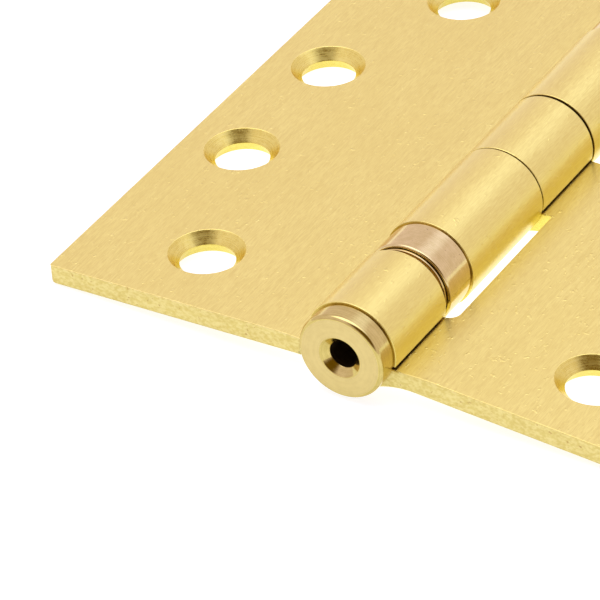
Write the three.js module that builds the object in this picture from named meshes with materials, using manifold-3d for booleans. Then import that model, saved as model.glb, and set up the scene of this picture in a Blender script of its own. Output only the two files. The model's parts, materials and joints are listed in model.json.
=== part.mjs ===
// A five-knuckle ball-bearing butt hinge for a door, lying open on its barrel.
//
// Millimetres, +Z up. The origin is on the surface that the hinge lies on, under the middle of the
// barrel. +Y runs along the barrel towards the pin's head, and +X runs out over the three-knuckle leaf.
// The barrel is the thickest part, so each leaf droops a little from it until its outer edge lies on
// the same surface.

import * as THREE from "three";
import { mergeVertices } from "three/addons/utils/BufferGeometryUtils.js";
import Module from "manifold-3d";

const wasm = await Module();
wasm.setup();

// ---------------------------------------------------------------- driving dimensions

const INCH = 25.4;

const HINGE_HEIGHT = 4 * INCH; // along the barrel
const LEAF_WIDTH = 2 * INCH; // from the barrel's axis to the leaf's outer edge
const LEAF_THICKNESS = 3.3; // 0.130 in gauge
const LEAF_DROP = 1.2; // the countersunk face lies this far below the axis
const BARREL_RADIUS = 7.1;

const END_KNUCKLE = 14.2; // length of the first and last knuckles
const BEARING_SPACE = 7.85; // between an end knuckle and the next one
const MIDDLE_KNUCKLE = 15.3;
const KNUCKLE_SEAM = 0.25; // axial gap between neighbours on the barrel
const CURL_SEAM = 0.25; // between a curled end and the leaf that it comes back to
const SWAGE_RADIUS = 14; // blend of the leaf's back into the barrel
const FACE_DIP = 0.3; // the countersunk face dips this much beside the barrel
const FACE_DIP_START = 13; // where the dip starts, from the axis
const NOTCH_CLEARANCE = 1.45; // between the barrel and the notch that the other leaf's knuckle turns in

const SCREW_HOLE_EDGE = [0.75 * INCH, 0.375 * INCH]; // from the outer edge: end holes, inner holes
const SCREW_HOLE_END = [0.5 * INCH, 1.5 * INCH]; // from the leaf's end: end holes, inner holes
const COUNTERSINK_RADIUS = 5.72; // 0.45 in across, for a No. 12 screw
const COUNTERSINK_ANGLE = THREE.MathUtils.degToRad(90);
const SCREW_HOLE_RADIUS = 4.1; // at its narrowest, under the countersink
const SCREW_HOLE_BACK_RADIUS = 4.95; // the punched hole opens out towards the leaf's back

const RUNNING_GAP = 0.15; // between pieces that turn or slide on each other
const TIP_RADIUS = 6.75;
const TIP_LENGTH = 3.4; // how far each tip stands out of the barrel
const TIP_ROUNDING = 0.7;
const PLUG_LENGTH = 6.5; // how far the bottom tip's plug reaches into the barrel
const PUNCH_HOLE_RADIUS = 2.1;
const PUNCH_CONE_RADIUS = 3.25;
const PUNCH_CONE_DEPTH = 1;

const SHELL_RADIUS = 6.83;
const SHELL_LENGTH = 5.9;
const SHELL_WALL = 0.45;
const SHELL_FLOOR = 0.6;
const SHELL_ROUNDING = 0.3;
const BALL_RADIUS = INCH / 32;
const BALLS_PER_BEARING = 18;
const RACE_FACE_GAP = 1.45; // between the two races' flat faces
const DUST_LIP_RADIUS = 6.35; // the fixed race's lip, which covers the shell's mouth
const DUST_LIP_LENGTH = 0.35;
const DUST_LIP_ROUNDING = 0.12;
const RACE_NECK_RADIUS = 5.9; // the fixed race behind its lip

const ROUND_SEGMENTS = 48;
const RACE_SEGMENTS = 36;
const HOLE_SEGMENTS = 32;
const CUT_MARGIN = 2; // how far a cutter reaches past what it cuts

// ---------------------------------------------------------------- worked-out dimensions

const HALF_HEIGHT = HINGE_HEIGHT / 2;
const BORE_RADIUS = BARREL_RADIUS - LEAF_THICKNESS;
const PIN_RADIUS = BORE_RADIUS - RUNNING_GAP;
const RING_BORE_RADIUS = PIN_RADIUS + 2 * RUNNING_GAP;
const LEAF_BACK = LEAF_DROP + LEAF_THICKNESS;
const NOTCH_EDGE = BARREL_RADIUS + NOTCH_CLEARANCE;
const COUNTERSINK_DEPTH = (COUNTERSINK_RADIUS - SCREW_HOLE_RADIUS) / Math.tan(COUNTERSINK_ANGLE / 2);
const RACE_RADIUS = SHELL_RADIUS - SHELL_WALL - RUNNING_GAP;
const BALL_CIRCLE_RADIUS = (RACE_RADIUS + RING_BORE_RADIUS) / 2;
const GROOVE_RADIUS = BALL_RADIUS + RUNNING_GAP;

const OUTER_EDGE_REACH = Math.hypot(LEAF_WIDTH, LEAF_BACK);
const LEAF_DROOP = Math.asin(BARREL_RADIUS / OUTER_EDGE_REACH) - Math.atan2(LEAF_BACK, LEAF_WIDTH);

const END_KNUCKLE_FACE = HALF_HEIGHT - END_KNUCKLE; // the end knuckle's inner face, from mid-height
const BEARING_FACE = END_KNUCKLE_FACE - BEARING_SPACE; // the next knuckle's face, from mid-height
const MIDDLE_FACE = MIDDLE_KNUCKLE / 2;

// ---------------------------------------------------------------- materials

function metal(name, color, roughness) {
  return new THREE.MeshStandardMaterial({ name, color, roughness, metalness: 1 });
}

const satinBrass = metal("satin_brass", 0xe4cb80, 0.38);
const turnedBrass = metal("turned_brass", 0xd9b877, 0.3);
const bearingBronze = metal("bearing_bronze", 0xd6b27d, 0.25);
const raceSteel = metal("race_steel", 0xa9a59c, 0.3);
const ballSteel = metal("ball_steel", 0xc9cacc, 0.12);

// ---------------------------------------------------------------- helpers

// Points on a circular arc, both ends included. Angles are in radians, counterclockwise.
function arcPoints(centreX, centreY, radius, start, end, steps) {
  return Array.from({ length: steps + 1 }, (_, step) => {
    const angle = start + ((end - start) * step) / steps;
    return new THREE.Vector2(centreX + radius * Math.cos(angle), centreY + radius * Math.sin(angle));
  });
}

// An outline in X and Z, made into a solid along Y between two stations.
function extrudeAlongY(outline, low, high) {
  const geometry = new THREE.ExtrudeGeometry(new THREE.Shape(outline), {
    depth: high - low,
    bevelEnabled: false,
  });
  return geometry.rotateX(Math.PI / 2).translate(0, high, 0);
}

function toSolid(geometry) {
  const bare = geometry.clone();
  bare.deleteAttribute("normal");
  bare.deleteAttribute("uv");
  const merged = mergeVertices(bare, 1e-4);
  return new wasm.Manifold(
    new wasm.Mesh({
      numProp: 3,
      vertProperties: new Float32Array(merged.attributes.position.array),
      triVerts: new Uint32Array(merged.index.array),
    }),
  );
}

function toGeometry(solid) {
  const mesh = solid.getMesh();
  const geometry = new THREE.BufferGeometry();
  geometry.setAttribute("position", new THREE.BufferAttribute(mesh.vertProperties, 3));
  geometry.setIndex(new THREE.BufferAttribute(mesh.triVerts, 1));
  geometry.computeVertexNormals();
  return geometry;
}

// A turned piece from its profile: points (radius, y), going round counterclockwise.
function turned(name, profile, material, segments = ROUND_SEGMENTS) {
  const points = profile.map(([radius, y]) => new THREE.Vector2(radius, y));
  const mesh = new THREE.Mesh(new THREE.LatheGeometry(points, segments), material);
  mesh.name = name;
  return mesh;
}

// A profile's quarter-round corner as [radius, y] points.
function roundedCorner(radius, y, rounding, start, end) {
  const steps = 3;
  return arcPoints(radius, y, rounding, start, end, steps).map((point) => [point.x, point.y]);
}

// ---------------------------------------------------------------- leaves

// The leaf seen along the barrel: a flat plate whose inner edge dips under the pin, curls round it
// and comes back to the plate's own countersunk face. The axis is at (0, 0), the plate runs out to +X.
function leafOutline() {
  const dippedFace = -LEAF_DROP - FACE_DIP;
  const curlEnd = dippedFace + CURL_SEAM;
  const boreStart = Math.asin(dippedFace / BORE_RADIUS);
  const boreEnd = Math.asin(curlEnd / BORE_RADIUS);
  const outerStart = Math.asin(curlEnd / BARREL_RADIUS);

  const swageHeight = -(LEAF_BACK + SWAGE_RADIUS);
  const swageX = Math.sqrt((BARREL_RADIUS + SWAGE_RADIUS) ** 2 - swageHeight ** 2);
  const swageAngle = Math.atan2(swageHeight, swageX);

  const bore = arcPoints(0, 0, BORE_RADIUS, boreStart, boreEnd - 2 * Math.PI, ROUND_SEGMENTS - 1);
  const barrel = arcPoints(0, 0, BARREL_RADIUS, outerStart, 1.5 * Math.PI, (ROUND_SEGMENTS * 3) / 4);
  const underBarrel = arcPoints(0, 0, BARREL_RADIUS, 1.5 * Math.PI, swageAngle + 2 * Math.PI, 4);
  const swage = arcPoints(swageX, swageHeight, SWAGE_RADIUS, swageAngle + Math.PI, Math.PI / 2, 6);
  return [
    new THREE.Vector2(LEAF_WIDTH, -LEAF_DROP),
    new THREE.Vector2(FACE_DIP_START, -LEAF_DROP),
    new THREE.Vector2(BARREL_RADIUS, dippedFace),
    ...bore,
    ...barrel,
    ...underBarrel.slice(1),
    ...swage.slice(1),
    new THREE.Vector2(LEAF_WIDTH, -LEAF_BACK),
  ];
}

// The cutter's top is the countersunk face's height, 0. It reaches past both faces of the leaf.
function screwHoleCutter() {
  const rise = CUT_MARGIN * Math.tan(COUNTERSINK_ANGLE / 2);
  const profile = [
    [0, -LEAF_THICKNESS - CUT_MARGIN],
    [SCREW_HOLE_BACK_RADIUS, -LEAF_THICKNESS - CUT_MARGIN],
    [SCREW_HOLE_BACK_RADIUS, -LEAF_THICKNESS],
    [SCREW_HOLE_RADIUS, -COUNTERSINK_DEPTH],
    [COUNTERSINK_RADIUS + rise, CUT_MARGIN],
    [0, CUT_MARGIN],
  ].map(([radius, height]) => new THREE.Vector2(radius, height));
  return new THREE.LatheGeometry(profile, HOLE_SEGMENTS).rotateX(Math.PI / 2);
}

// The four holes are staggered: the end pair nearer the barrel, the inner pair nearer the edge.
function screwHolePlaces() {
  return SCREW_HOLE_EDGE.flatMap((fromEdge, pair) => {
    const x = LEAF_WIDTH - fromEdge;
    const y = HALF_HEIGHT - SCREW_HOLE_END[pair];
    return [
      [x, -y],
      [x, y],
    ];
  });
}

// A notch along the barrel between two stations, where the other leaf's knuckle turns.
function notchCutter(low, high) {
  const reach = BARREL_RADIUS + CUT_MARGIN;
  const box = new THREE.BoxGeometry(NOTCH_EDGE + reach, high - low, 2 * reach);
  return box.translate((NOTCH_EDGE - reach) / 2, (low + high) / 2, 0);
}

function leaf(name, notches) {
  let solid = toSolid(extrudeAlongY(leafOutline(), -HALF_HEIGHT, HALF_HEIGHT));
  for (const [low, high] of notches) {
    solid = solid.subtract(toSolid(notchCutter(low, high)));
  }
  for (const [x, y] of screwHolePlaces()) {
    solid = solid.subtract(toSolid(screwHoleCutter().translate(x, y, -LEAF_DROP)));
  }
  const mesh = new THREE.Mesh(toGeometry(solid), satinBrass);
  mesh.name = name;
  return mesh;
}

function threeKnuckleLeaf() {
  const middle = MIDDLE_FACE;
  const placed = leaf("three_knuckle_leaf", [
    [-END_KNUCKLE_FACE, -middle],
    [middle, END_KNUCKLE_FACE],
  ]);
  placed.rotation.y = LEAF_DROOP;
  return placed;
}

function twoKnuckleLeaf() {
  const middle = MIDDLE_FACE + KNUCKLE_SEAM;
  const pastEnd = HALF_HEIGHT + CUT_MARGIN;
  const placed = leaf("two_knuckle_leaf", [
    [-pastEnd, -BEARING_FACE],
    [-middle, middle],
    [BEARING_FACE, pastEnd],
  ]);
  placed.rotation.set(0, LEAF_DROOP, Math.PI, "ZYX");
  return placed;
}

// ---------------------------------------------------------------- pin and bottom tip

function pin() {
  const chamfer = 0.8;
  const foot = -HALF_HEIGHT + PLUG_LENGTH + 2 * RUNNING_GAP;
  const headUnderside = HALF_HEIGHT + KNUCKLE_SEAM;
  const top = HALF_HEIGHT + TIP_LENGTH;
  return turned(
    "pin",
    [
      [0, foot],
      [PIN_RADIUS - chamfer, foot],
      [PIN_RADIUS, foot + chamfer],
      [PIN_RADIUS, headUnderside],
      [TIP_RADIUS, headUnderside],
      ...roundedCorner(TIP_RADIUS - TIP_ROUNDING, top - TIP_ROUNDING, TIP_ROUNDING, 0, Math.PI / 2),
      [0, top],
    ],
    turnedBrass,
  );
}

// The bottom tip is pressed into the last knuckle. A punch goes through its hole to drive the pin out.
function bottomTip() {
  const face = -HALF_HEIGHT - TIP_LENGTH;
  const headTop = -HALF_HEIGHT - KNUCKLE_SEAM;
  const plugTop = -HALF_HEIGHT + PLUG_LENGTH;
  return turned(
    "bottom_tip",
    [
      [PUNCH_CONE_RADIUS, face],
      ...roundedCorner(TIP_RADIUS - TIP_ROUNDING, face + TIP_ROUNDING, TIP_ROUNDING, -Math.PI / 2, 0),
      [TIP_RADIUS, headTop],
      [PIN_RADIUS, headTop],
      [PIN_RADIUS, plugTop],
      [PUNCH_HOLE_RADIUS, plugTop],
      [PUNCH_HOLE_RADIUS, face + PUNCH_CONE_DEPTH],
      [PUNCH_CONE_RADIUS, face],
    ],
    turnedBrass,
  );
}

// ---------------------------------------------------------------- bearings

// Each bearing is drawn with y = 0 on the end knuckle's face and +Y towards the moving knuckle.
const SHELL_FLOOR_OUTSIDE = BEARING_SPACE - KNUCKLE_SEAM;
const SHELL_MOUTH = SHELL_FLOOR_OUTSIDE - SHELL_LENGTH;
const TURNING_RACE_BACK = SHELL_FLOOR_OUTSIDE - SHELL_FLOOR - RUNNING_GAP;
const RACE_THICKNESS = (TURNING_RACE_BACK - KNUCKLE_SEAM - RACE_FACE_GAP) / 2;
const FIXED_RACE_FACE = KNUCKLE_SEAM + RACE_THICKNESS;
const BALL_STATION = FIXED_RACE_FACE + RACE_FACE_GAP / 2;

// The shell is a cup: its floor is against the moving knuckle, and its wall hides races and balls.
function bearingShell(prefix) {
  const inner = SHELL_RADIUS - SHELL_WALL;
  const outerCorner = SHELL_RADIUS - SHELL_ROUNDING;
  return turned(
    `${prefix}_shell`,
    [
      [inner, SHELL_MOUTH],
      ...roundedCorner(outerCorner, SHELL_MOUTH + SHELL_ROUNDING, SHELL_ROUNDING, -Math.PI / 2, 0),
      ...roundedCorner(outerCorner, SHELL_FLOOR_OUTSIDE - SHELL_ROUNDING, SHELL_ROUNDING, 0, Math.PI / 2),
      [RING_BORE_RADIUS, SHELL_FLOOR_OUTSIDE],
      [RING_BORE_RADIUS, SHELL_FLOOR_OUTSIDE - SHELL_FLOOR],
      [inner, SHELL_FLOOR_OUTSIDE - SHELL_FLOOR],
      [inner, SHELL_MOUTH],
    ],
    bearingBronze,
  );
}

// The ball groove in a race, as profile points from one side of the ball circle to the other.
function groove(start, end) {
  const steps = 5;
  const arc = arcPoints(BALL_CIRCLE_RADIUS, BALL_STATION, GROOVE_RADIUS, start, end, steps);
  return arc.map((point) => [point.x, point.y]);
}

function fixedRace(prefix) {
  const grooveLip = Math.asin(RACE_FACE_GAP / 2 / GROOVE_RADIUS);
  const lipEnd = SHELL_MOUTH - RUNNING_GAP;
  const lipStart = lipEnd - DUST_LIP_LENGTH;
  const lipCorner = DUST_LIP_RADIUS - DUST_LIP_ROUNDING;
  return turned(
    `${prefix}_fixed_race`,
    [
      [RING_BORE_RADIUS, KNUCKLE_SEAM],
      [RACE_NECK_RADIUS, KNUCKLE_SEAM],
      [RACE_NECK_RADIUS, lipStart],
      ...roundedCorner(lipCorner, lipStart + DUST_LIP_ROUNDING, DUST_LIP_ROUNDING, -Math.PI / 2, 0),
      [DUST_LIP_RADIUS, lipEnd],
      [RACE_RADIUS, lipEnd],
      [RACE_RADIUS, FIXED_RACE_FACE],
      ...groove(-grooveLip, grooveLip - Math.PI),
      [RING_BORE_RADIUS, FIXED_RACE_FACE],
      [RING_BORE_RADIUS, KNUCKLE_SEAM],
    ],
    raceSteel,
    RACE_SEGMENTS,
  );
}

function turningRace(prefix) {
  const grooveLip = Math.asin(RACE_FACE_GAP / 2 / GROOVE_RADIUS);
  const face = FIXED_RACE_FACE + RACE_FACE_GAP;
  return turned(
    `${prefix}_turning_race`,
    [
      [RING_BORE_RADIUS, face],
      ...groove(Math.PI - grooveLip, grooveLip),
      [RACE_RADIUS, face],
      [RACE_RADIUS, TURNING_RACE_BACK],
      [RING_BORE_RADIUS, TURNING_RACE_BACK],
      [RING_BORE_RADIUS, face],
    ],
    raceSteel,
    RACE_SEGMENTS,
  );
}

function balls(prefix) {
  const geometry = new THREE.SphereGeometry(BALL_RADIUS, 10, 7);
  return Array.from({ length: BALLS_PER_BEARING }, (_, index) => {
    const angle = (2 * Math.PI * index) / BALLS_PER_BEARING;
    const ball = new THREE.Mesh(geometry, ballSteel);
    ball.name = `${prefix}_ball_${String(index + 1).padStart(2, "0")}`;
    ball.position.set(
      BALL_CIRCLE_RADIUS * Math.cos(angle),
      BALL_STATION,
      BALL_CIRCLE_RADIUS * Math.sin(angle),
    );
    return ball;
  });
}

function bearing(prefix) {
  const group = new THREE.Group();
  group.add(bearingShell(prefix), fixedRace(prefix), turningRace(prefix), ...balls(prefix));
  return group;
}

// ---------------------------------------------------------------- assembly

function barrel() {
  const lowerBearing = bearing("lower_bearing");
  lowerBearing.position.y = -END_KNUCKLE_FACE;

  const upperBearing = bearing("upper_bearing");
  upperBearing.position.y = END_KNUCKLE_FACE;
  upperBearing.rotation.z = Math.PI;

  const group = new THREE.Group();
  group.add(threeKnuckleLeaf(), twoKnuckleLeaf(), pin(), bottomTip(), lowerBearing, upperBearing);
  group.position.z = BARREL_RADIUS;
  return group;
}

const doorHinge = new THREE.Group();
doorHinge.add(barrel());

export default doorHinge;
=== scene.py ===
"""The looks of a ball-bearing butt hinge: satin brass leaves with curled knuckles, a loose pin with a
button for its head, a button tip at the barrel's other end, and bronze bearings beside the end knuckles.
Pieces are drawn in millimetres and placed in metres. The frame's lengths are turned into millimetres as
they are read."""

import json
import math

import bmesh
import bpy
from mathutils import Euler, Matrix, Vector

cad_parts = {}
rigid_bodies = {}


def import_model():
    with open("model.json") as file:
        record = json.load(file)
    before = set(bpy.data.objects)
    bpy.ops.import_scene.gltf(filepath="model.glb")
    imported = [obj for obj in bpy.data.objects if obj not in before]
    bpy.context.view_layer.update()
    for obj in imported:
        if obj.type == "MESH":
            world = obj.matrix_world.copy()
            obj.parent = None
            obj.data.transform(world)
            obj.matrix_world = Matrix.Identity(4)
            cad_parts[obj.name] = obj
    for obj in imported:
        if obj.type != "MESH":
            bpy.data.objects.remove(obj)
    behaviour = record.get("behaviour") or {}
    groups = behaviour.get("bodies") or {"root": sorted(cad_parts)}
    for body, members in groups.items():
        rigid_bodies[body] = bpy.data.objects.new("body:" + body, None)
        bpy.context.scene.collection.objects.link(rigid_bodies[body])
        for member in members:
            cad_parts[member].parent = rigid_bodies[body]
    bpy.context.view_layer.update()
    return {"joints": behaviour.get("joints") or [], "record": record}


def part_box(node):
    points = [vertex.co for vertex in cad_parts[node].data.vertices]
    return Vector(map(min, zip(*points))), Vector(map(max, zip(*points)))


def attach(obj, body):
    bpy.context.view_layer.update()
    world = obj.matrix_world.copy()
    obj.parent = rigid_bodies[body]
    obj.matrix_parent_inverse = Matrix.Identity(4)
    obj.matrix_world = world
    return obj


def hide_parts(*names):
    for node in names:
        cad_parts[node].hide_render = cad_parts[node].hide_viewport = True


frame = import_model()

MM = 0.001  # one millimetre, in metres


# ---------------------------------------------------------------- sizes from the frame


def box_mm(node):
    low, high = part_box(node)
    return low / MM, high / MM


def joint(name):
    return next(item for item in frame["joints"] if item["name"] == name)


def mount(name):
    return next(item for item in frame["record"]["mounts"] if item["name"] == name)


AXIS = Vector(joint("leaf_swing")["pos_m"]) / MM
LEAF_HIGH = box_mm("three_knuckle_leaf")[1]
BARREL_RADIUS = LEAF_HIGH.z - AXIS.z
HALF_HEIGHT = LEAF_HIGH.y

BACK_MOUNT = mount("three_knuckle_leaf_back")
BACK_NORMAL = Vector(BACK_MOUNT["axis"])
LEAF_DROOP = math.atan2(-BACK_NORMAL.x, -BACK_NORMAL.z)
LEAF_BACK = (Vector(BACK_MOUNT["pos_m"]) / MM - AXIS).dot(BACK_NORMAL)

LEAF_THICKNESS = 3.3
LEAF_DROP = LEAF_BACK - LEAF_THICKNESS
LEAF_WIDTH = (LEAF_HIGH.x + LEAF_DROP * math.sin(LEAF_DROOP)) / math.cos(LEAF_DROOP)
BORE_RADIUS = BARREL_RADIUS - LEAF_THICKNESS

FACE_DIP = 0.3  # how far a leaf's face sinks on its way to the barrel
FACE_DIP_START = 13.0
SWAGE_RADIUS = 14.0  # of the bend in a leaf's back beside the barrel
CURL_SEAM = 0.4  # between a knuckle's curled end and the leaf's face
KNUCKLE_SEAM = 0.2  # below the middle knuckle
UPPER_SEAM = 0.45  # above the middle knuckle
TOUCHING = 0.03  # the gap left between pieces that touch
RUNNING_GAP = 0.15  # between pieces that turn or slide on each other
MIDDLE_FACE = 7.65  # the middle knuckle's end, from the middle of the barrel
NOTCH_EDGE = BARREL_RADIUS + 1.45
NOTCH_FILLET = 2.0
NOTCH_CORNER = 0.2

COUNTERSINK_RADIUS = 5.72
COUNTERSINK_DEPTH = 1.62
HOLE_RADIUS = 4.1
HOLE_BACK_RADIUS = 4.95

BEARING_GAP = 0.25  # in the frame, between a bearing and the knuckles beside it
END_KNUCKLE_FACE = -(box_mm("lower_bearing_fixed_race")[0].y - BEARING_GAP)
BEARING_FACE = -(box_mm("lower_bearing_shell")[1].y + BEARING_GAP)
SHELL_WALL = 0.45
SHELL_FLOOR = 0.6
LIP_RADIUS = 6.35
LIP_LENGTH = 0.35
NECK_RADIUS = 5.9
RING_BORE = BORE_RADIUS + RUNNING_GAP
RING_ROUNDING = 0.1

TIP_LOW, TIP_HIGH = box_mm("bottom_tip")
PIN_LOW, PIN_HIGH = box_mm("pin")
PIN_RADIUS = BORE_RADIUS - RUNNING_GAP  # the tip's plug is as thick
TIP_RADIUS = TIP_HIGH.x
TIP_ROUNDING = 0.7
PIN_HEAD_ROUNDING = 0.5
PIN_FOOT_ROUNDING = 0.8
PUNCH_HOLE_RADIUS = 2.1
PUNCH_CONE_RADIUS = 3.25
PUNCH_CONE_DEPTH = 1.0

ROUND_SEGMENTS = 144
HOLE_SEGMENTS = 96
BORE_STEPS = 140
BARREL_STEPS = 124
SWAGE_STEPS = 16
DIP_STEPS = 8
GROOVE_STEPS = 12
ARC_STEP = math.radians(12)
END_SLOPE = 0.97  # how nearly a turned face must look along the barrel to count as an end
CUT_MARGIN = 2.0  # how far a cutter reaches past what it cuts


# ---------------------------------------------------------------- outlines


def arc(centre, radius, start, end, steps):
    """Points on an arc from start to end, both included."""
    turn = (end - start) / steps
    return [
        (
            centre[0] + radius * math.cos(start + turn * step),
            centre[1] + radius * math.sin(start + turn * step),
        )
        for step in range(steps + 1)
    ]


def rounded(corners):
    """A closed outline from (u, v, rounding) corners, with an arc at each corner that has a rounding."""
    outline = []
    count = len(corners)
    for index, (u, v, rounding) in enumerate(corners):
        here = Vector((u, v))
        if not rounding:
            outline.append(here)
            continue
        back = (Vector(corners[index - 1][:2]) - here).normalized()
        ahead = (Vector(corners[(index + 1) % count][:2]) - here).normalized()
        half = back.angle(ahead) / 2
        reach = rounding / math.tan(half)
        centre = here + (back + ahead).normalized() * (rounding / math.sin(half))
        first = here + back * reach - centre
        turn = first.angle_signed(here + ahead * reach - centre)
        steps = max(2, math.ceil(abs(turn) / ARC_STEP))
        for step in range(steps + 1):
            angle = -turn * step / steps
            outline.append(centre + Matrix.Rotation(angle, 2) @ first)
    return [tuple(point) for point in outline]


# ---------------------------------------------------------------- meshes


def lathe(outline, segments=ROUND_SEGMENTS):
    """A closed outline of (radius, y) points turned about the Y axis, with poles at radius 0."""
    shape = bmesh.new()
    rings = []
    for radius, y in outline:
        if radius == 0:
            rings.append([shape.verts.new((0, y, 0))] * segments)
            continue
        angles = [2 * math.pi * index / segments for index in range(segments)]
        places = [(radius * math.cos(angle), y, radius * math.sin(angle)) for angle in angles]
        rings.append([shape.verts.new(place) for place in places])
    for ring, following in zip(rings, rings[1:] + rings[:1]):
        for index in range(segments):
            after = (index + 1) % segments
            corners = [ring[index], ring[after], following[after], following[index]]
            distinct = list(dict.fromkeys(corners))
            if len(distinct) > 2:
                shape.faces.new(distinct)
    bmesh.ops.recalc_face_normals(shape, faces=shape.faces)
    return shape


def prism(outline, axis, low, high):
    """A closed outline made into a solid between two heights along an axis, 'y' or 'z'."""
    shape = bmesh.new()

    def at(u, v, height):
        return (u, height, v) if axis == "y" else (u, v, height)

    ends = [[shape.verts.new(at(u, v, height)) for u, v in outline] for height in (low, high)]
    for end in ends:
        shape.faces.new(end)
    for index, start in enumerate(ends[0]):
        after = (index + 1) % len(outline)
        shape.faces.new((start, ends[0][after], ends[1][after], ends[1][index]))
    bmesh.ops.recalc_face_normals(shape, faces=shape.faces)
    return shape


def make_object(name, shape):
    """An object from a bmesh, which is freed."""
    mesh = bpy.data.meshes.new(name)
    shape.to_mesh(mesh)
    shape.free()
    piece = bpy.data.objects.new(name, mesh)
    bpy.context.scene.collection.objects.link(piece)
    return piece


def apply_modifiers(piece):
    """Replaces a piece's mesh with what its modifiers make of it."""
    depsgraph = bpy.context.evaluated_depsgraph_get()
    applied = bpy.data.meshes.new_from_object(piece.evaluated_get(depsgraph))
    piece.modifiers.clear()
    piece.data = applied
    piece.data.name = piece.name


def cut(piece, cutters):
    """Cuts solids from a piece. The cutters are bmeshes, and are used up."""
    for cutter in cutters:
        tool = make_object(f"{piece.name}_cutter", cutter)
        modifier = piece.modifiers.new("cut", "BOOLEAN")
        modifier.operation = "DIFFERENCE"
        modifier.solver = "EXACT"
        modifier.object = tool
        apply_modifiers(piece)
        bpy.data.objects.remove(tool)


def smooth(piece):
    """Smooth shading that keeps flat faces flat."""
    piece.data.shade_smooth()
    modifier = piece.modifiers.new("weighted_normals", "WEIGHTED_NORMAL")
    modifier.keep_sharp = True
    apply_modifiers(piece)


def place(piece, transform):
    """Puts a piece drawn in millimetres where it goes, in metres. Its object stays at the origin."""
    piece.data.transform(Matrix.Scale(MM, 4) @ transform)


def add_finishes(piece, *finishes):
    """Gives a piece its finishes, in the order of its faces' material numbers."""
    for finish in finishes:
        piece.data.materials.append(FINISHES[finish])


def dress(piece, body, nodes):
    """Says which body a piece rides on, and the nodes it stands in for."""
    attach(piece, body)
    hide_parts(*nodes)


# ---------------------------------------------------------------- materials


class Nodes:
    """Short ways to add nodes to a node tree."""

    def __init__(self, tree):
        self.tree = tree

    def add(self, kind, **settings):
        node = self.tree.nodes.new(kind)
        for name, value in settings.items():
            setattr(node, name, value)
        return node

    def feed(self, socket, value):
        """Links a socket to another node's output, or sets it to a constant."""
        if isinstance(value, bpy.types.NodeSocket):
            self.tree.links.new(value, socket)
        else:
            socket.default_value = value

    def math(self, operation, *values):
        node = self.add("ShaderNodeMath", operation=operation)
        for socket, value in zip(node.inputs, values):
            self.feed(socket, value)
        return node.outputs["Value"]

    def vector(self, operation, *values):
        node = self.add("ShaderNodeVectorMath", operation=operation)
        for socket, value in zip(node.inputs, values):
            self.feed(socket, value)
        return node.outputs["Value" if operation in ("DOT_PRODUCT", "LENGTH") else "Vector"]

    def ramp(self, source, low, high, low_value=0.0, high_value=1.0):
        """A value mapped smoothly from low..high to low_value..high_value."""
        node = self.add("ShaderNodeMapRange", interpolation_type="SMOOTHSTEP")
        for name, value in (
            ("Value", source),
            ("From Min", low),
            ("From Max", high),
            ("To Min", low_value),
            ("To Max", high_value),
        ):
            self.feed(node.inputs[name], value)
        return node.outputs["Result"]

    def mix(self, factor, first, second):
        """Two colours mixed by a factor."""
        node = self.add("ShaderNodeMix", data_type="RGBA")
        self.feed(node.inputs["Factor"], factor)
        colours = [socket for socket in node.inputs if socket.type == "RGBA"]
        for socket, value in zip(colours, (first, second)):
            self.feed(socket, (*value, 1.0) if isinstance(value, tuple) else value)
        return next(socket for socket in node.outputs if socket.type == "RGBA")

    def noise(self, place, scale, detail=3.0, roughness=0.55):
        """Noise with its own number of waves to a millimetre along each axis."""
        texture = self.add("ShaderNodeTexNoise")
        self.feed(texture.inputs["Vector"], self.vector("MULTIPLY", place, Vector(scale) / MM))
        self.feed(texture.inputs["Scale"], 1.0)
        self.feed(texture.inputs["Detail"], detail)
        self.feed(texture.inputs["Roughness"], roughness)
        return texture.outputs["Fac"]

    def blend(self, *shares):
        """A sum of values, each with its weight."""
        total = 0.0
        for value, weight in shares:
            total = self.math("MULTIPLY_ADD", value, weight, total)
        return total


GRAZING = (0.99, 0.92, 0.82)  # what the metals send back at grazing angles, against a perfect mirror
COAT_ROUGHNESS = 0.3


class Metal(Nodes):
    """A metal being built, and its shader."""

    def __init__(self, name, roughness, coat=0.0):
        self.material = bpy.data.materials.new(name)
        self.material.use_nodes = True
        super().__init__(self.material.node_tree)
        self.surface = self.tree.nodes["Principled BSDF"]
        self.place = self.add("ShaderNodeTexCoord").outputs["Object"]
        self.feed(self.surface.inputs["Metallic"], 1.0)
        self.feed(self.surface.inputs["Roughness"], roughness)
        self.feed(self.surface.inputs["Specular Tint"], (*GRAZING, 1.0))
        self.feed(self.surface.inputs["Coat Weight"], coat)
        self.feed(self.surface.inputs["Coat Roughness"], COAT_ROUGHNESS)

    def colour(self, value):
        self.feed(self.surface.inputs["Base Color"], value)

    def roughness(self, value):
        self.feed(self.surface.inputs["Roughness"], value)

    def bump(self, height, depth, strength):
        """Relief whose height goes from 0 to 1 over a depth in millimetres."""
        node = self.add("ShaderNodeBump")
        self.feed(node.inputs["Strength"], strength)
        self.feed(node.inputs["Distance"], depth * MM)
        self.feed(node.inputs["Height"], height)
        self.feed(self.surface.inputs["Normal"], node.outputs["Normal"])


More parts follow.
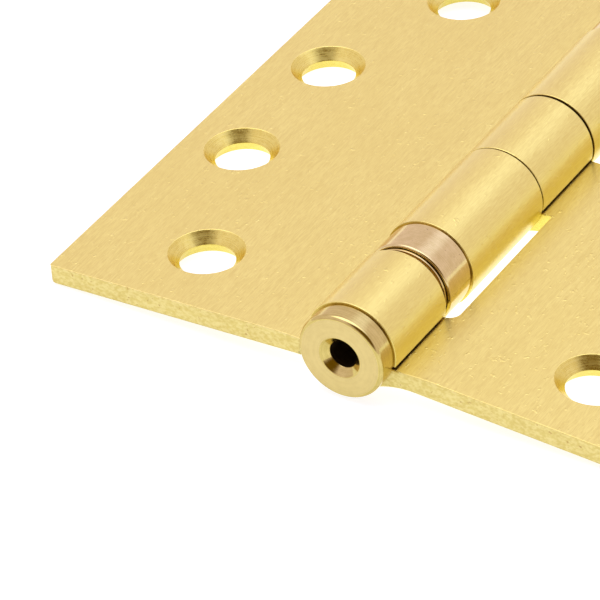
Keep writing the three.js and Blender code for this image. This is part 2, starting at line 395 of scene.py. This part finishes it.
def brushed_brass():
    """Lacquered satin brass, brushed along the barrel, with a few specks under the lacquer."""
    metal = Metal("brushed_brass", 0.36, coat=0.5)
    fine = metal.noise(metal.place, (11.0, 0.7, 11.0), detail=2.0)
    medium = metal.noise(metal.place, (3.6, 0.12, 3.6), detail=2.0)
    broad = metal.noise(metal.place, (0.12, 0.05, 0.12), detail=2.0)
    dust = metal.noise(metal.place, (1.5, 1.1, 1.5), detail=1.0)
    specks = metal.ramp(metal.blend((dust, 1.0), (broad, 0.12)), 0.73, 0.79)
    streaks = metal.blend((fine, 0.7), (medium, 0.3))
    brass = metal.mix(metal.ramp(streaks, 0.36, 0.64), (0.77, 0.65, 0.145), (0.86, 0.76, 0.195))
    metal.colour(metal.mix(metal.ramp(broad, 0.35, 0.65, 0.0, 0.3), brass, (0.78, 0.66, 0.145)))
    metal.roughness(metal.ramp(streaks, 0.35, 0.65, 0.3, 0.4))
    metal.bump(metal.blend((streaks, 0.3), (specks, 1.5)), 0.03, 0.6)
    return metal.material


def sheared_brass():
    """The leaf's punched edges: grained and pitted."""
    metal = Metal("sheared_brass", 0.42)
    grain = metal.noise(metal.place, (1.6, 1.6, 2.4), detail=3.0)
    coarse = metal.noise(metal.place, (0.35, 0.35, 0.7), detail=3.0)
    pits = metal.ramp(metal.noise(metal.place, (1.6, 1.6, 1.6), detail=2.0), 0.66, 0.76)
    clean = metal.mix(metal.ramp(grain, 0.35, 0.65), (0.69, 0.57, 0.17), (0.8, 0.69, 0.26))
    metal.colour(metal.mix(pits, clean, (0.56, 0.4, 0.12)))
    metal.roughness(metal.ramp(coarse, 0.4, 0.6, 0.36, 0.48))
    metal.bump(metal.blend((grain, 0.6), (coarse, 1.0), (pits, -0.4)), 0.09, 0.8)
    return metal.material


def countersink_brass(name, tilt):
    """Countersinks cut by a tool: rings round each hole, at constant depth below the leaf's face."""
    metal = Metal(name, 0.3)
    turn = metal.add("ShaderNodeVectorRotate", rotation_type="Y_AXIS")
    metal.feed(turn.inputs["Vector"], metal.place)
    metal.feed(turn.inputs["Angle"], -tilt)
    rings = metal.noise(turn.outputs["Vector"], (0.15, 0.15, 9.0), detail=2.0)
    mottle = metal.noise(metal.place, (1.6, 1.6, 1.6), detail=3.0)
    marks = metal.blend((rings, 0.6), (mottle, 0.4))
    metal.colour(metal.mix(metal.ramp(marks, 0.35, 0.65), (0.74, 0.61, 0.12), (0.84, 0.73, 0.18)))
    metal.roughness(metal.ramp(marks, 0.35, 0.65, 0.24, 0.34))
    metal.bump(marks, 0.015, 0.6)
    return metal.material


def turned_metal(name, dark, light, roughness, depth, pits=0.0):
    """A lathe-turned metal: rings round the barrel's axis, with faint mottling."""
    metal = Metal(name, roughness[0])
    from_axis = metal.vector("SUBTRACT", metal.place, AXIS * MM)
    radius = metal.vector("LENGTH", metal.vector("MULTIPLY", from_axis, (1.0, 0.0, 1.0)))
    along = metal.vector("DOT_PRODUCT", metal.place, (0.0, 1.0, 0.0))
    section = metal.add("ShaderNodeCombineXYZ")
    metal.feed(section.inputs["X"], radius)
    metal.feed(section.inputs["Y"], along)
    rings = metal.noise(section.outputs["Vector"], (6.0, 6.0, 1.0), detail=2.0)
    mottle = metal.noise(metal.place, (0.8, 0.8, 0.8), detail=4.0, roughness=0.6)
    wear = metal.blend((rings, 0.55), (mottle, 0.45))
    base = metal.mix(metal.ramp(wear, 0.35, 0.65), dark, light)
    dots = metal.noise(metal.place, (1.8, 1.8, 1.8), detail=1.0)
    pitting = metal.ramp(dots, 0.72, 0.78, 0.0, pits)
    metal.colour(metal.mix(pitting, base, (0.3, 0.18, 0.07)))
    metal.roughness(metal.ramp(wear, 0.35, 0.65, *roughness))
    metal.bump(metal.blend((wear, 1.0), (pitting, -1.0)), depth, 0.5)
    return metal.material


def satin_turned_brass():
    """The faces of the tip and of the pin's head."""
    return turned_metal(
        "satin_turned_brass", (0.65, 0.52, 0.19), (0.73, 0.6, 0.23), roughness=(0.34, 0.44), depth=0.006
    )


def polished_brass():
    """The sides of the tip and of the pin."""
    return turned_metal(
        "polished_brass",
        (0.55, 0.44, 0.12),
        (0.67, 0.55, 0.17),
        roughness=(0.1, 0.18),
        depth=0.005,
        pits=0.4,
    )


def polished_bronze():
    """The bearings' shells and races."""
    return turned_metal(
        "polished_bronze",
        (0.63, 0.5, 0.18),
        (0.75, 0.61, 0.25),
        roughness=(0.1, 0.17),
        depth=0.005,
        pits=0.6,
    )


def worn_brass():
    """Darker brass that paints the shade on the knuckles' ends and inside the seams and bores."""
    return turned_metal(
        "worn_brass", (0.48, 0.35, 0.07), (0.64, 0.49, 0.12), roughness=(0.25, 0.35), depth=0.01
    )


def dull_brass():
    """The inside of a drilled hole: near-black brass that paints the hole's shade."""
    return turned_metal(
        "dull_brass", (0.12, 0.08, 0.03), (0.2, 0.14, 0.05), roughness=(0.4, 0.5), depth=0.01
    )


def ball_steel():
    """The bearings' balls."""
    return turned_metal(
        "ball_steel", (0.54, 0.54, 0.55), (0.64, 0.64, 0.65), roughness=(0.06, 0.12), depth=0.001
    )


# ---------------------------------------------------------------- leaves


def leaf_section():
    """The leaf seen along the barrel, with the axis at (0, 0) and the plate running out to +u."""
    dipped = -LEAF_DROP - FACE_DIP
    curl_end = dipped + CURL_SEAM
    face = [
        (
            FACE_DIP_START + (BARREL_RADIUS - FACE_DIP_START) * step / DIP_STEPS,
            -LEAF_DROP - FACE_DIP * (1 - math.cos(math.pi * step / DIP_STEPS)) / 2,
        )
        for step in range(DIP_STEPS + 1)
    ]
    bore_start = math.asin(dipped / BORE_RADIUS)
    bore_end = math.asin(curl_end / BORE_RADIUS) - 2 * math.pi
    outer_start = math.asin(curl_end / BARREL_RADIUS)
    swage_v = -(LEAF_BACK + SWAGE_RADIUS)
    swage_u = math.sqrt((BARREL_RADIUS + SWAGE_RADIUS) ** 2 - swage_v**2)
    swage_angle = math.atan2(swage_v, swage_u)
    bore = arc((0, 0), BORE_RADIUS, bore_start, bore_end, BORE_STEPS)
    barrel = arc((0, 0), BARREL_RADIUS, outer_start, swage_angle + 2 * math.pi, BARREL_STEPS)
    swage = arc((swage_u, swage_v), SWAGE_RADIUS, swage_angle + math.pi, math.pi / 2, SWAGE_STEPS)
    return [(LEAF_WIDTH, -LEAF_DROP), *face, *bore, *barrel, *swage[1:], (LEAF_WIDTH, -LEAF_BACK)]


def notch(low, high, low_rounding, high_rounding):
    """What is cut from a leaf for the other leaf's knuckle, between two stations on the barrel."""
    reach = -BARREL_RADIUS - CUT_MARGIN
    outline = rounded(
        [
            (reach, low, 0),
            (NOTCH_EDGE, low, low_rounding),
            (NOTCH_EDGE, high, high_rounding),
            (reach, high, 0),
        ]
    )
    return prism(outline, "z", reach, -reach)


def screw_hole():
    """What is cut from a leaf for one screw, with the leaf's face at height 0."""
    slope = (COUNTERSINK_RADIUS - HOLE_RADIUS) / COUNTERSINK_DEPTH
    outline = [
        (0, -LEAF_THICKNESS - CUT_MARGIN),
        (HOLE_BACK_RADIUS, -LEAF_THICKNESS - CUT_MARGIN),
        (HOLE_BACK_RADIUS, -LEAF_THICKNESS),
        (HOLE_RADIUS, -COUNTERSINK_DEPTH),
        (COUNTERSINK_RADIUS + slope * CUT_MARGIN, CUT_MARGIN),
        (0, CUT_MARGIN),
    ]
    shape = lathe(outline, HOLE_SEGMENTS)
    bmesh.ops.rotate(shape, matrix=Matrix.Rotation(math.pi / 2, 3, "X"), verts=shape.verts)
    return shape


def hole_places(to_leaf, leaf_name):
    """The screw holes' centres in the leaf's own plan, from the frame's openings."""
    places = []
    for opening in frame["record"]["physics"]["openings"]:
        if opening["name"].startswith(leaf_name):
            low, high = (Vector(corner) / MM for corner in opening["box_m"])
            places.append(to_leaf @ ((low + high) / 2))
    return places


# The fourth finish is darker brass that paints the shade on knuckle ends and in seams and bores.
BRUSHED, SHEARED, MACHINED, PAINTED_SHADE = range(4)
# A leaf's end face is knuckle on the axis's side of KNUCKLE_SIDE and above KNUCKLE_FLOOR, else plate.
KNUCKLE_SIDE = BARREL_RADIUS + 0.5
KNUCKLE_FLOOR = -LEAF_DROP - FACE_DIP - 0.3
ENDWAYS = 0.9  # how nearly a leaf's face must look along the barrel to be an end face
FLATWAYS = 0.93  # how nearly it must look up or down to belong to the plate
NEARLY = 0.1  # a face or an edge is on a side of the leaf, or on the barrel, when it is this close to it
INSIDE_KNUCKLE = BARREL_RADIUS - 0.3
ROUND_KNUCKLE = BARREL_RADIUS + 0.6
BESIDE_KNUCKLE = NOTCH_EDGE - 0.3
FACE_EDGES_END = -LEAF_DROP - FACE_DIP - 0.2  # the edges round a leaf's face are above this

WELD = 0.002  # points closer together than this become one
SHARP = math.radians(25)  # an edge that turns less than this isn't rounded
EDGE_SEGMENTS = 3
EDGE_ROUNDING = 0.6  # the largest rounding; the others are shares of it
RIM_SHARE = 0.25
FACE_EDGE_SHARE = 0.18
BACK_EDGE_SHARE = 1.0
NOTCH_BACK_SHARE = 0.5
SINK_RIM_SHARE = 0.1


def face_material(face):
    """Which finish a leaf's face has: brushed faces, sheared edges, machined countersinks and notch
    sides, or darker brass painted as shade on a knuckle end, seam or bore."""
    centre = face.calc_center_median()
    radius = math.hypot(centre.x, centre.z)
    if abs(face.normal.y) > ENDWAYS:
        # a knuckle's end takes the darker brass painted as shade
        if centre.x < KNUCKLE_SIDE and centre.z > KNUCKLE_FLOOR:
            return PAINTED_SHADE
        return SHEARED if abs(centre.y) > HALF_HEIGHT - NEARLY else MACHINED
    # the bore takes the same painted shade
    if radius < INSIDE_KNUCKLE:
        return PAINTED_SHADE
    if radius < ROUND_KNUCKLE or centre.x < BESIDE_KNUCKLE or abs(face.normal.z) > FLATWAYS:
        return BRUSHED
    if centre.x > LEAF_WIDTH - NEARLY or centre.x < NOTCH_EDGE + NEARLY:
        return SHEARED
    return MACHINED


def edge_share(edge):
    """How round an edge is, as a share of the largest rounding."""
    if len(edge.link_faces) != 2 or edge.calc_face_angle(0) < SHARP:
        return 0.0
    middle = (edge.verts[0].co + edge.verts[1].co) / 2
    if math.hypot(middle.x, middle.z) < BARREL_RADIUS + NEARLY:
        return RIM_SHARE
    if MACHINED in {face.material_index for face in edge.link_faces}:
        return SINK_RIM_SHARE
    if middle.z > FACE_EDGES_END:
        return FACE_EDGE_SHARE
    in_notch = abs(middle.y) < HALF_HEIGHT - NEARLY and middle.x < LEAF_WIDTH - NEARLY
    return NOTCH_BACK_SHARE if in_notch else BACK_EDGE_SHARE


def split_ends(shape, reach, at, across):
    """Splits a leaf's end faces that are nearer the axis than reach, by a plane."""
    ends = [
        face
        for face in shape.faces
        if abs(face.normal.y) > ENDWAYS and face.calc_center_median().x < reach
    ]
    end_edges = {edge for face in ends for edge in face.edges}
    bmesh.ops.bisect_plane(shape, geom=[*ends, *end_edges], plane_co=at, plane_no=across)


def round_edges(piece):
    """Rounds a leaf's edges, once its end faces are split between the knuckles and the plate."""
    shape = bmesh.new()
    shape.from_mesh(piece.data)
    bmesh.ops.remove_doubles(shape, verts=shape.verts, dist=WELD)
    split_ends(shape, LEAF_WIDTH, (KNUCKLE_SIDE, 0, 0), (1, 0, 0))
    split_ends(shape, KNUCKLE_SIDE, (0, 0, KNUCKLE_FLOOR), (0, 0, 1))
    bmesh.ops.recalc_face_normals(shape, faces=shape.faces)
    for face in shape.faces:
        face.material_index = face_material(face)
    weights = shape.edges.layers.float.new("bevel_weight_edge")
    for edge in shape.edges:
        edge[weights] = edge_share(edge)
    shape.to_mesh(piece.data)
    shape.free()
    modifier = piece.modifiers.new("edges", "BEVEL")
    modifier.limit_method = "WEIGHT"
    modifier.width = EDGE_ROUNDING
    modifier.segments = EDGE_SEGMENTS
    modifier.use_clamp_overlap = False
    apply_modifiers(piece)


def leaf(name, notches, turn, body, sink_finish):
    """A leaf with its notches and screw holes, put on the barrel by a turn about its own axis."""
    to_frame = Matrix.Translation(AXIS) @ turn @ Matrix.Rotation(LEAF_DROOP, 4, "Y")
    piece = make_object(f"{name}_body", prism(leaf_section(), "y", -HALF_HEIGHT, HALF_HEIGHT))
    cutters = [notch(*item) for item in notches]
    for place_in_leaf in hole_places(to_frame.inverted(), name):
        cutter = screw_hole()
        at = Vector((place_in_leaf.x, place_in_leaf.y, -LEAF_DROP))
        bmesh.ops.translate(cutter, vec=at, verts=cutter.verts)
        cutters.append(cutter)
    cut(piece, cutters)
    # the last finish is darker brass that paints the shade on knuckle ends, seams and bores
    add_finishes(piece, "brushed", "sheared", sink_finish, "painted_shade")
    round_edges(piece)
    smooth(piece)
    place(piece, to_frame)
    dress(piece, body, [name])


# ---------------------------------------------------------------- turned pieces


def turned_piece(name, outline, body, sides, ends, hole_radius=0.0):
    """A lathed piece on the barrel's axis, with one finish on its sides, one on its ends, and a
    near-black one in its hole that paints the hole's shade."""
    shape = lathe(outline)
    for face in shape.faces:
        centre = face.calc_center_median()
        in_hole = math.hypot(centre.x, centre.z) < hole_radius + TOUCHING
        # faces in the hole take the near-black brass painted as the hole's shade
        face.material_index = 2 if in_hole else int(abs(face.normal.y) > END_SLOPE)
    piece = make_object(f"{name}_body", shape)
    smooth(piece)
    place(piece, Matrix.Translation(AXIS))
    add_finishes(piece, sides, ends, "hole_shade")
    dress(piece, body, [name])


def bottom_tip():
    """A button on the barrel's lower end, with a plug in the knuckle and a punch hole through both."""
    face = TIP_LOW.y
    head_top = -HALF_HEIGHT - TOUCHING
    outline = rounded(
        [
            (PUNCH_CONE_RADIUS, face, 0.35),
            (TIP_RADIUS, face, TIP_ROUNDING),
            (TIP_RADIUS, head_top, 0.1),
            (PIN_RADIUS, head_top, 0),
            (PIN_RADIUS, TIP_HIGH.y, 0.3),
            (PUNCH_HOLE_RADIUS, TIP_HIGH.y, 0.2),
            (PUNCH_HOLE_RADIUS, face + PUNCH_CONE_DEPTH, 0.3),
        ]
    )
    turned_piece(
        "bottom_tip", outline, "root", "polished", "satin", PUNCH_HOLE_RADIUS
    )


def hinge_pin():
    """The pin and the button on its upper end."""
    head_underside = HALF_HEIGHT + TOUCHING
    outline = rounded(
        [
            (0, PIN_LOW.y, 0),
            (PIN_RADIUS, PIN_LOW.y, PIN_FOOT_ROUNDING),
            (PIN_RADIUS, head_underside, 0),
            (TIP_RADIUS, head_underside, 0.15),
            (TIP_RADIUS, PIN_HIGH.y, PIN_HEAD_ROUNDING),
            (0, PIN_HIGH.y, 0),
        ]
    )
    turned_piece("pin", outline, "hinge_pin", "polished", "satin")


FINISHES = {
    "brushed": brushed_brass(),
    "sheared": sheared_brass(),
    # darker brass painted as shade on knuckle ends and in seams and bores
    "painted_shade": worn_brass(),
    "three_sink": countersink_brass("countersink_brass_three", LEAF_DROOP),
    "two_sink": countersink_brass("countersink_brass_two", -LEAF_DROOP),
    "satin": satin_turned_brass(),
    "polished": polished_brass(),
    "bronze": polished_bronze(),
    # near-black brass painted as the shade inside a hole
    "hole_shade": dull_brass(),
    "ball": ball_steel(),
}

PAST_END = HALF_HEIGHT + CUT_MARGIN

leaf(
    "three_knuckle_leaf",
    [
        (-END_KNUCKLE_FACE, -MIDDLE_FACE, NOTCH_FILLET, NOTCH_CORNER),
        (MIDDLE_FACE, END_KNUCKLE_FACE, NOTCH_CORNER, NOTCH_FILLET),
    ],
    Matrix.Identity(4),
    "root",
    "three_sink",
)
leaf(
    "two_knuckle_leaf",
    [  # from the barrel's upper end down, because this leaf is turned end for end
        (-PAST_END, -BEARING_FACE, 0, NOTCH_FILLET),
        (-MIDDLE_FACE - UPPER_SEAM, MIDDLE_FACE + KNUCKLE_SEAM, NOTCH_CORNER, NOTCH_CORNER),
        (BEARING_FACE, PAST_END, NOTCH_FILLET, 0),
    ],
    Matrix.Rotation(math.pi, 4, "Z"),
    "swing_leaf",
    "two_sink",
)
bottom_tip()
hinge_pin()


# ---------------------------------------------------------------- bearings


def groove(ball, race_face):
    """A ball track's section where it is cut into a race's flat face, outermost point first."""
    low, high = box_mm(ball)
    centre = (low + high) / 2 - AXIS
    circle = math.hypot(centre.x, centre.z)
    station = (low.y + high.y) / 2
    radius = (high.y - low.y) / 2 + RUNNING_GAP
    side = 1 if race_face < station else -1
    lip = math.asin(abs(race_face - station) / radius)
    points = arc((circle, 0), radius, -lip, lip - math.pi, GROOVE_STEPS)
    return [(u, station + side * v, 0) for u, v in points]


def fixed_race_outline(end, away):
    """A ring with a lip that covers the shell's mouth, standing on a narrower neck."""
    low, high = box_mm(f"{end}_bearing_fixed_race")
    shell_low, shell_high = box_mm(f"{end}_bearing_shell")
    near, far = (low.y, high.y) if away > 0 else (high.y, low.y)
    lip_end = (shell_low.y if away > 0 else shell_high.y) - away * RUNNING_GAP
    lip_start = lip_end - away * LIP_LENGTH
    race_radius = shell_high.x - SHELL_WALL - RUNNING_GAP
    return rounded(
        [
            (RING_BORE, near, RING_ROUNDING),
            (NECK_RADIUS, near, 0),
            (NECK_RADIUS, lip_start, RING_ROUNDING),
            (LIP_RADIUS, lip_start, 0.12),
            (LIP_RADIUS, lip_end, 0.08),
            (race_radius, lip_end, 0),
            (race_radius, far, 0.15),
            *groove(f"{end}_bearing_ball_01", far),
            (RING_BORE, far, RING_ROUNDING),
        ]
    )


def turning_race_outline(end, away):
    """A ring that lies against the shell's floor."""
    low, high = box_mm(f"{end}_bearing_turning_race")
    near, far = (low.y, high.y) if away > 0 else (high.y, low.y)
    return rounded(
        [
            (high.x, near, 0.15),
            (high.x, far, 0.2),
            (RING_BORE, far, RING_ROUNDING),
            (RING_BORE, near, RING_ROUNDING),
            *reversed(groove(f"{end}_bearing_ball_01", near)),
        ]
    )


def shell_outline(end, away):
    """A cup: its mouth faces the end knuckle, and its floor lies against the moving knuckle."""
    low, high = box_mm(f"{end}_bearing_shell")
    outer = high.x
    inner = outer - SHELL_WALL
    mouth = low.y if away > 0 else high.y
    bottom = away * -(BEARING_FACE + TOUCHING)
    inside = bottom - away * SHELL_FLOOR
    return rounded(
        [
            (inner, mouth, 0.08),
            (outer, mouth, 0.35),
            (outer, bottom, 0.04),
            (RING_BORE, bottom, RING_ROUNDING),
            (RING_BORE, inside, RING_ROUNDING),
            (inner, inside, RING_ROUNDING),
        ]
    )


def bearing(end, away):
    """A bearing's turned pieces. `away` is the way along the barrel from its end knuckle, 1 or -1."""
    for name, outline, body, slot in (
        ("fixed_race", fixed_race_outline(end, away), "root", "race_steel"),
        ("turning_race", turning_race_outline(end, away), "swing_leaf", "race_steel"),
        ("shell", shell_outline(end, away), "swing_leaf", "bearing_bronze"),
    ):
        turned_piece(f"{end}_bearing_{name}", outline, body, "bronze", "bronze")


bearing("lower", 1)
bearing("upper", -1)
for ball in (item for item in bpy.data.objects if "_ball_" in item.name):
    for ball_slot in ball.material_slots:
        ball_slot.material = FINISHES["ball"]


# ---------------------------------------------------------------- stage, light and camera


FLOOR_REACH = 3.0
FLOOR_GREY = (0.3, 0.3, 0.3, 1.0)
FLOOR_ROUGHNESS = 0.8
FLOOR_GLOW = 1.2, 0.82  # under the hinge and round it
FLOOR_GLOW_REACH = 0.04, 0.055  # where the one turns into the other, from the middle

SKY = (0.96, 0.82, 1.15)
HORIZON = (0.96, 0.82, 1.06)
SKY_HEIGHT = 0.55  # how high a direction must be to be all sky
LEAST_HEIGHT = 0.01  # lower directions count as this high
SOFTBOX = (1.42, 1.4, 2.3)
SOFTBOX_MIDDLE = (0.27, 0.3, 0.0)  # on a ceiling one unit up
SOFTBOX_HALF_SIZE = (0.7, 0.95, 1.0)
SOFTBOX_EDGE = 0.5, 1.12  # where it fades, as shares of its half size
TOP_LAMP = (2.6, 2.5, 3.6)
TOP_LAMP_MIDDLE = (-0.2, 0.0, 0.0)
TOP_LAMP_HALF_SIZE = (0.9, 0.55, 1.0)
TOP_LAMP_EDGE = 0.5, 1.1
SHADE = (0.18, 0.1, 0.0)
SHADE_TOWARDS = Vector((0.5, -0.6, 0.62))
SHADE_REACH = math.radians(24), math.radians(44)


def floor():
    """A white table that is lit from below as well, so the part throws hardly any shadow on it."""
    material = bpy.data.materials.new("floor_white")
    material.use_nodes = True
    table = Nodes(material.node_tree)
    surface = table.tree.nodes["Principled BSDF"].inputs
    from_middle = table.vector("LENGTH", table.add("ShaderNodeTexCoord").outputs["Object"])
    table.feed(surface["Base Color"], FLOOR_GREY)
    table.feed(surface["Roughness"], FLOOR_ROUGHNESS)
    table.feed(surface["Emission Color"], (1.0, 1.0, 1.0, 1.0))
    table.feed(surface["Emission Strength"], table.ramp(from_middle, *FLOOR_GLOW_REACH, *FLOOR_GLOW))
    shape = bmesh.new()
    bmesh.ops.create_grid(shape, x_segments=1, y_segments=1, size=FLOOR_REACH)
    piece = make_object("floor", shape)
    piece.data.materials.append(material)


def studio_light():
    """A pale tent with a softbox and a lamp overhead, and a dark opening behind the camera."""
    world = bpy.data.worlds.new("studio")
    world.use_nodes = True
    sky = Nodes(world.node_tree)
    towards = sky.add("ShaderNodeTexCoord").outputs["Generated"]
    split = sky.add("ShaderNodeSeparateXYZ")
    sky.feed(split.inputs["Vector"], towards)
    height = sky.math("MAXIMUM", split.outputs["Z"], LEAST_HEIGHT)
    tent = sky.mix(sky.ramp(height, 0.0, SKY_HEIGHT), HORIZON, SKY)
    overhead = sky.add("ShaderNodeVectorMath", operation="SCALE")
    sky.feed(overhead.inputs["Vector"], sky.vector("MULTIPLY", towards, (1.0, 1.0, 0.0)))
    sky.feed(overhead.inputs["Scale"], sky.math("DIVIDE", 1.0, height))

    def in_light(middle, half_size, edge):
        """How far a direction is inside an oval light on the ceiling, from 0 to 1."""
        from_middle = sky.vector("SUBTRACT", overhead.outputs["Vector"], middle)
        reach = sky.vector("LENGTH", sky.vector("DIVIDE", from_middle, half_size))
        return sky.ramp(reach, *edge, 1.0, 0.0)

    in_softbox = in_light(SOFTBOX_MIDDLE, SOFTBOX_HALF_SIZE, SOFTBOX_EDGE)
    in_lamp = in_light(TOP_LAMP_MIDDLE, TOP_LAMP_HALF_SIZE, TOP_LAMP_EDGE)
    lit = sky.mix(in_lamp, sky.mix(in_softbox, tent, SOFTBOX), TOP_LAMP)
    cosine = sky.vector("DOT_PRODUCT", towards, SHADE_TOWARDS.normalized())
    in_shade = sky.ramp(cosine, math.cos(SHADE_REACH[1]), math.cos(SHADE_REACH[0]))
    colour = sky.mix(in_shade, lit, SHADE)
    sky.feed(world.node_tree.nodes["Background"].inputs["Color"], colour)
    bpy.context.scene.world = world


CAMERA_AIM = Vector((-0.0140, -0.0415, 0.0040))
CAMERA_DISTANCE = 0.6873
CAMERA_AZIMUTH = math.radians(31.66)
CAMERA_ELEVATION = math.radians(36.24)
CAMERA_ROLL = math.radians(-1.66)
CAMERA_LENS = 289.7


def camera():
    """A long lens that looks down on the hinge from beyond its lower end."""
    data = bpy.data.cameras.new("camera")
    data.lens = CAMERA_LENS
    data.sensor_width = 36.0
    data.clip_start = 0.01
    piece = bpy.data.objects.new("camera", data)
    bpy.context.scene.collection.objects.link(piece)
    turn = Euler((math.pi / 2 - CAMERA_ELEVATION, 0.0, CAMERA_AZIMUTH)).to_matrix()
    back = turn @ Vector((0.0, 0.0, 1.0))
    piece.location = CAMERA_AIM + back * CAMERA_DISTANCE
    piece.rotation_euler = (turn @ Matrix.Rotation(CAMERA_ROLL, 3, "Z")).to_euler()
    bpy.context.scene.camera = piece


floor()
studio_light()
camera()
bpy.context.scene.view_settings.view_transform = "Standard"
